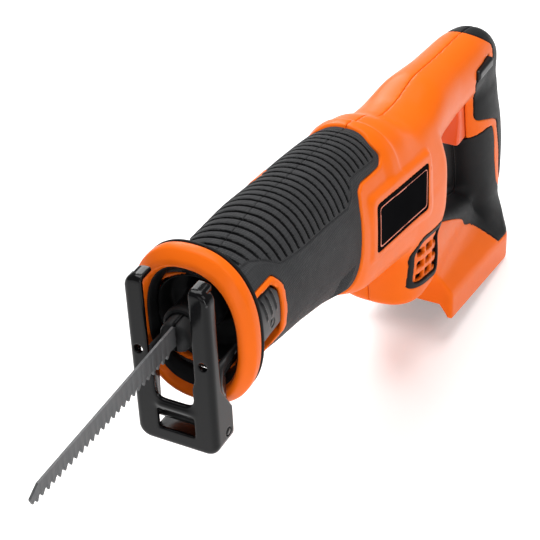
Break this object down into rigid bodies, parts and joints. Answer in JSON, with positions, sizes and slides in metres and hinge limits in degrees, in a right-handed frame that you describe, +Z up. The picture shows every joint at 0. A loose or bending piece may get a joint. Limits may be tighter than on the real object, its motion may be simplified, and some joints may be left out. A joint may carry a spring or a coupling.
{
  "type": "cordless reciprocating saw",
  "caption": "Cordless reciprocating saw with a blade, pivoting shoe, ribbed rubber front grip and a D-shaped rear handle on an empty battery foot",
  "frame": {"origin": "under the middle of the tool's whole length, at the level of the battery foot's lowest edge", "axes": "+X forward along the blade, +Y to the tool's left, +Z up"},
  "size_m": [0.5268, 0.066, 0.223],
  "materials": {
    "orange": "satin moulded, bright orange",
    "overmould": "soft ribbed overmould, black",
    "black_plastic": "satin moulded, black",
    "black_paint": "glossy black paint on steel",
    "blade_steel": "dark grey, lightly brushed",
    "steel": "machined steel",
    "cast_alloy": "die cast, dull",
    "sintered": "sintered steel, grey",
    "copper": "bare copper",
    "bronze": "oil-soaked bronze",
    "carbon": "ferrite or carbon, dull black",
    "trigger_orange": "satin moulded, orange-red",
    "wire_red": "red PVC insulation",
    "wire_black": "black PVC insulation"
  },
  "bodies": {
    "tool_body": {"housing_left": "orange", "housing_right": "orange", "nose_ring": "orange", "front_grip_left": "overmould", "front_grip_right": "overmould", "rear_overmould_left": "overmould", "rear_overmould_right": "overmould", "palm_grip_left": "overmould", "palm_grip_right": "overmould", "vent_frame_left": "overmould", "vent_frame_right": "overmould", "nose_gasket": "overmould", "badge_left": "black_plastic", "badge_right": "black_plastic", "motor_end_cap": "black_plastic", "switch_module": "black_plastic", "receiver_plate": "black_plastic", "terminal_block": "black_plastic", "shoe_bracket": "black_paint", "gear_plate": "steel", "gear_axle": "steel", "motor_can": "steel", "lower_bearing": "steel", "upper_bearing": "steel", "shoe_pivot_pin": "steel", "housing_screw_1": "steel", "housing_screw_2": "steel", "housing_screw_3": "steel", "housing_screw_4": "steel", "housing_screw_5": "steel", "housing_screw_6": "steel", "gear_case": "cast_alloy", "terminal_positive": "copper", "terminal_negative": "copper", "rear_bush": "bronze", "front_bush": "bronze", "magnet_left": "carbon", "magnet_right": "carbon", "brush_left": "carbon", "brush_right": "carbon", "battery_wire_red": "wire_red", "motor_wire_red": "wire_red", "battery_wire_black": "wire_black", "motor_wire_black": "wire_black"},
    "plunger": {"plunger_shaft": "steel", "scotch_yoke": "sintered", "blade_clamp": "black_plastic", "clamp_collar": "sintered", "saw_blade": "blade_steel"},
    "crank_gear": {"drive_gear": "sintered", "crank_pin": "steel"},
    "armature": {"motor_shaft": "steel", "armature_core": "sintered", "commutator": "copper", "cooling_fan": "black_plastic"},
    "blade_release": {"release_lever": "black_plastic", "release_cam_ring": "sintered"},
    "pivoting_shoe": {"shoe": "black_paint"},
    "trigger_button": {"trigger": "trigger_orange"},
    "lock_off": {"lock_off_button": "black_plastic"}
  },
  "joints": [
    {"name": "plunger_stroke", "type": "slide", "parent": "tool_body", "child": "plunger", "axis": [1, 0, 0], "range_m": [-0.022, 0]},
    {"name": "motor_spin", "type": "hinge", "parent": "tool_body", "child": "armature", "pos_m": [-0.093, 0, 0.1], "axis": [0, 0, 1], "continuous": true},
    {"name": "crank_gear_spin", "type": "hinge", "parent": "tool_body", "child": "crank_gear", "pos_m": [-0.0678, 0, 0.14], "axis": [0, 0, 1], "continuous": true},
    {"name": "release_turn", "type": "hinge", "parent": "tool_body", "child": "blade_release", "pos_m": [0.103, 0, 0.1845], "axis": [1, 0, 0], "range_deg": [-12, 0], "stiffness_Nm_per_rad": 0.6, "springref_deg": 20.05},
    {"name": "shoe_pivot", "type": "hinge", "parent": "tool_body", "child": "pivoting_shoe", "pos_m": [0.14, 0, 0.132], "axis": [0, 1, 0], "range_deg": [-3, 22]},
    {"name": "trigger_press", "type": "slide", "parent": "tool_body", "child": "trigger_button", "axis": [-1, 0, 0], "range_m": [0, 0.007], "stiffness_N_per_m": 400, "springref_m": -0.004},
    {"name": "lock_off_push", "type": "slide", "parent": "tool_body", "child": "lock_off", "axis": [0, -1, 0], "range_m": [0, 0.003], "stiffness_N_per_m": 300, "springref_m": -0.003}
  ],
  "couplings": [
    {"joint": "crank_gear_spin", "follows": "motor_spin", "ratio": -0.16667}
  ]
}
